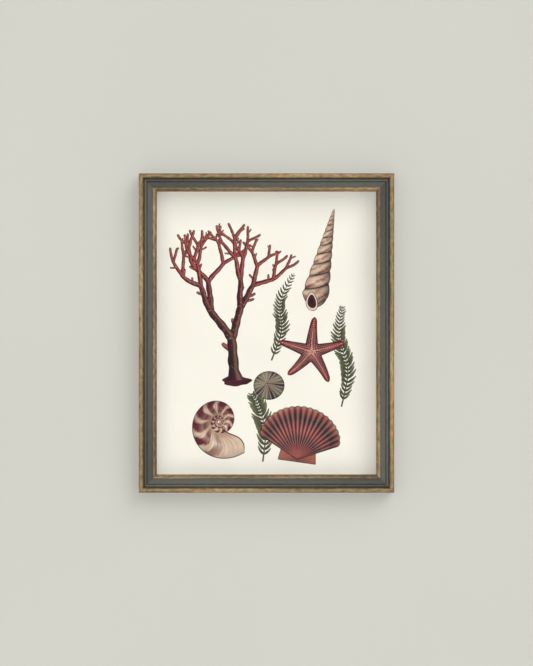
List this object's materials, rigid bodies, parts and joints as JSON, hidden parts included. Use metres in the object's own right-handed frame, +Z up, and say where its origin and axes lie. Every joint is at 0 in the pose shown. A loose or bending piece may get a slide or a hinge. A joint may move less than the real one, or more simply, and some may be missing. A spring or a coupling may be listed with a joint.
{
  "type": "framed art print",
  "caption": "Portrait framed art print: slim gold and charcoal wooden frame with glass, a natural history plate on cream paper, a backing board and a sawtooth hanger.",
  "frame": {"origin": "middle of the flat at the top of the sawtooth hanger's centre notch, where the wall nail bears, at half the strip's thickness", "axes": "+Z up, -Y out of the wall towards the viewer, +X to the viewer's right"},
  "size_m": [0.4064, 0.0303, 0.508],
  "materials": {
    "moulding": "brushed gold wash on the ridge and lip, charcoal paint between, raw wood back",
    "zinc_steel": "zinc plated",
    "glass": "clear, polished",
    "paper": "matt cream paper with a printed design",
    "hardboard": "smooth brown hardboard",
    "rubber": "matt"
  },
  "bodies": {
    "root": {"rail_top": "moulding", "rail_right": "moulding", "rail_bottom": "moulding", "rail_left": "moulding", "corner_nail_top_left_outer": "zinc_steel", "corner_nail_top_left_inner": "zinc_steel", "corner_nail_top_right_outer": "zinc_steel", "corner_nail_top_right_inner": "zinc_steel", "corner_nail_bottom_left_outer": "zinc_steel", "corner_nail_bottom_left_inner": "zinc_steel", "corner_nail_bottom_right_outer": "zinc_steel", "corner_nail_bottom_right_inner": "zinc_steel", "glass_pane": "glass", "art_print": "paper", "backing_board": "hardboard", "framing_point_top_left": "zinc_steel", "framing_point_top_right": "zinc_steel", "framing_point_bottom_left": "zinc_steel", "framing_point_bottom_right": "zinc_steel", "framing_point_left_upper": "zinc_steel", "framing_point_left_middle": "zinc_steel", "framing_point_left_lower": "zinc_steel", "framing_point_right_upper": "zinc_steel", "framing_point_right_middle": "zinc_steel", "framing_point_right_lower": "zinc_steel", "sawtooth_hanger": "zinc_steel", "hanger_nail_left": "zinc_steel", "hanger_nail_right": "zinc_steel", "bumper_left": "rubber", "bumper_right": "rubber"}
  },
  "joints": []
}
